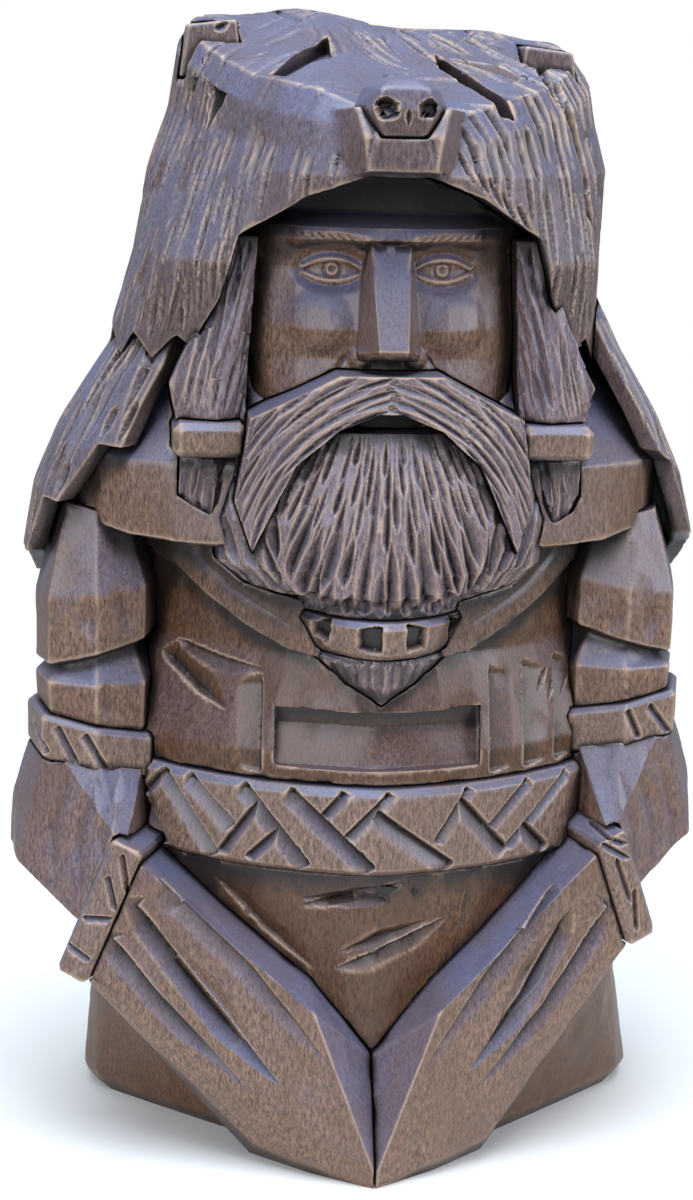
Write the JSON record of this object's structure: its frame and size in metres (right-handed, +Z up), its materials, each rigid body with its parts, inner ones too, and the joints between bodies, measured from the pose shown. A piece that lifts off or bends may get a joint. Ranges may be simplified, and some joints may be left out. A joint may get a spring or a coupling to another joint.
{
  "type": "carved warrior figurine",
  "caption": "Carved wooden figure of a bearded Norse warrior in a bear-head hood and pelt, his hands joined in a point in front of a belted robe, standing on a flat base.",
  "frame": {"origin": "on the ground, in the flat underside of the robe's skirt, under the figure's centre line", "axes": "+Z up; the figure faces -Y; +X is the figure's own left"},
  "size_m": [0.1258, 0.0848, 0.2012],
  "materials": {
    "bear_hood": "dark stain, satin varnish",
    "bear_nose": "dark stain, satin varnish",
    "bear_ear_left": "dark stain, satin varnish",
    "bear_ear_right": "dark stain, satin varnish",
    "pelt": "dark stain, satin varnish",
    "face": "dark stain, satin varnish",
    "moustache": "dark stain, satin varnish",
    "beard": "dark stain, satin varnish",
    "beard_tie": "dark stain, satin varnish",
    "beard_tip": "dark stain, satin varnish",
    "hair_lock_left": "dark stain, satin varnish",
    "hair_lock_right": "dark stain, satin varnish",
    "hair_ring_left": "dark stain, satin varnish",
    "hair_ring_right": "dark stain, satin varnish",
    "hair_tuft_left": "dark stain, satin varnish",
    "hair_tuft_right": "dark stain, satin varnish",
    "mantle": "dark stain, satin varnish",
    "tunic": "dark stain, satin varnish",
    "belt": "dark stain, satin varnish",
    "skirt": "dark stain, satin varnish",
    "upper_arm_left": "dark stain, satin varnish",
    "upper_arm_right": "dark stain, satin varnish",
    "armband_left": "dark stain, satin varnish",
    "armband_right": "dark stain, satin varnish",
    "forearm_left": "dark stain, satin varnish",
    "forearm_right": "dark stain, satin varnish",
    "wristband_left": "dark stain, satin varnish",
    "wristband_right": "dark stain, satin varnish",
    "hand_left": "dark stain, satin varnish",
    "hand_right": "dark stain, satin varnish"
  },
  "bodies": {
    "root": {"bear_hood": "bear_hood", "bear_nose": "bear_nose", "bear_ear_left": "bear_ear_left", "bear_ear_right": "bear_ear_right", "pelt": "pelt", "face": "face", "moustache": "moustache", "beard": "beard", "beard_tie": "beard_tie", "beard_tip": "beard_tip", "hair_lock_left": "hair_lock_left", "hair_lock_right": "hair_lock_right", "hair_ring_left": "hair_ring_left", "hair_ring_right": "hair_ring_right", "hair_tuft_left": "hair_tuft_left", "hair_tuft_right": "hair_tuft_right", "mantle": "mantle", "tunic": "tunic", "belt": "belt", "skirt": "skirt", "upper_arm_left": "upper_arm_left", "upper_arm_right": "upper_arm_right", "armband_left": "armband_left", "armband_right": "armband_right", "forearm_left": "forearm_left", "forearm_right": "forearm_right", "wristband_left": "wristband_left", "wristband_right": "wristband_right", "hand_left": "hand_left", "hand_right": "hand_right"}
  },
  "joints": []
}
